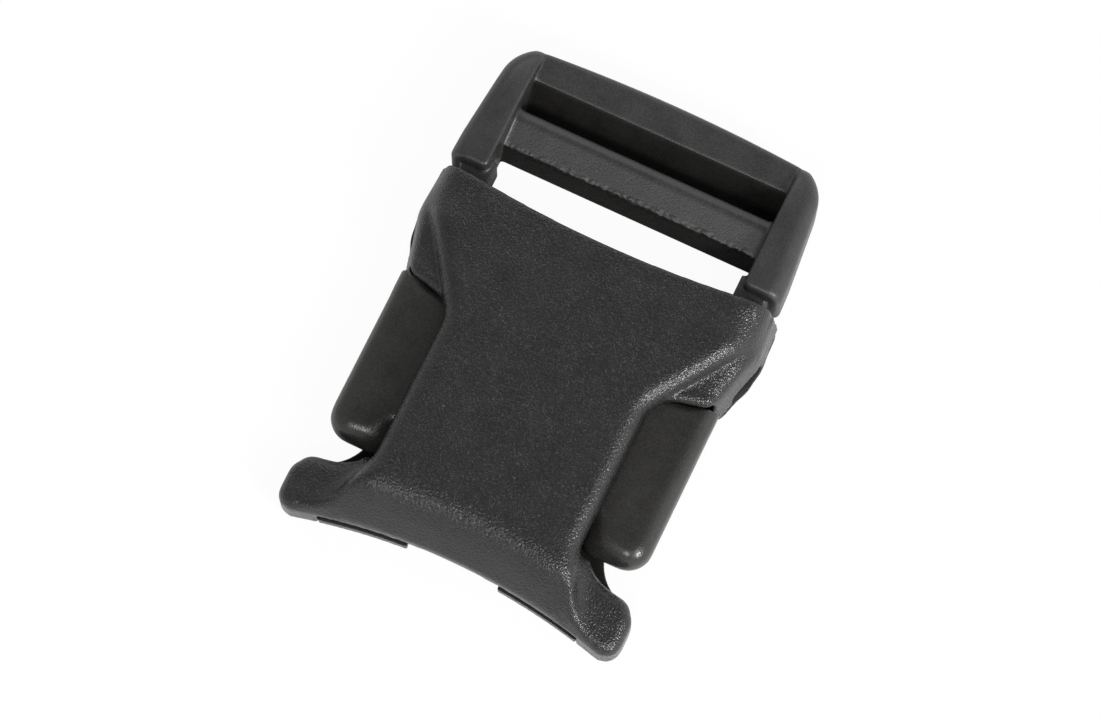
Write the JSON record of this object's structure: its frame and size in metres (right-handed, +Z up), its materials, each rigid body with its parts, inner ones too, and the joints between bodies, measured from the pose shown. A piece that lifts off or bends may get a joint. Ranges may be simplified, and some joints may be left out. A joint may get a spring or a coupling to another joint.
{
  "type": "side release buckle",
  "caption": "Side-release buckle for flat webbing: a sculpted socket with a split bar, and a plug with a ladder adjuster and springy squeeze pads.",
  "frame": {"origin": "middle of the closed buckle's footprint, on the surface that it lies on", "axes": "+Y along the pull, from the socket's webbing end to the plug's outer bar; +Z up, out of the sculpted cover; +X to the right of both"},
  "size_m": [0.054, 0.0755, 0.0116],
  "materials": {
    "socket_plastic": "fine spark-eroded grain, injection moulded acetal",
    "plug_plastic": "very fine grain, injection moulded acetal",
    "pad_plastic": "satin, injection moulded acetal"
  },
  "bodies": {
    "socket": {"top_shell": "socket_plastic", "bottom_shell": "socket_plastic", "cross_wall": "socket_plastic", "left_half_bar": "socket_plastic", "right_half_bar": "socket_plastic", "left_guide_rib": "socket_plastic", "right_guide_rib": "socket_plastic"},
    "plug": {"outer_bar": "plug_plastic", "center_bar": "plug_plastic", "base_bar": "plug_plastic", "guide_tongue": "plug_plastic", "left_rail": "plug_plastic", "right_rail": "plug_plastic"},
    "left_arm": {"left_latch_arm": "pad_plastic", "left_squeeze_pad": "pad_plastic"},
    "right_arm": {"right_latch_arm": "pad_plastic", "right_squeeze_pad": "pad_plastic"}
  },
  "joints": [
    {"name": "plug_slide", "type": "slide", "parent": "socket", "child": "plug", "axis": [0, 1, 0], "range_m": [0, 0.0003]},
    {"name": "left_arm_flex", "type": "hinge", "parent": "plug", "child": "left_arm", "pos_m": [-0.0201, 0.0112, 0.0047], "axis": [0, 0, 1], "range_deg": [0, 8], "stiffness_Nm_per_rad": 3},
    {"name": "right_arm_flex", "type": "hinge", "parent": "plug", "child": "right_arm", "pos_m": [0.0201, 0.0112, 0.0047], "axis": [0, 0, -1], "range_deg": [0, 8], "stiffness_Nm_per_rad": 3}
  ]
}
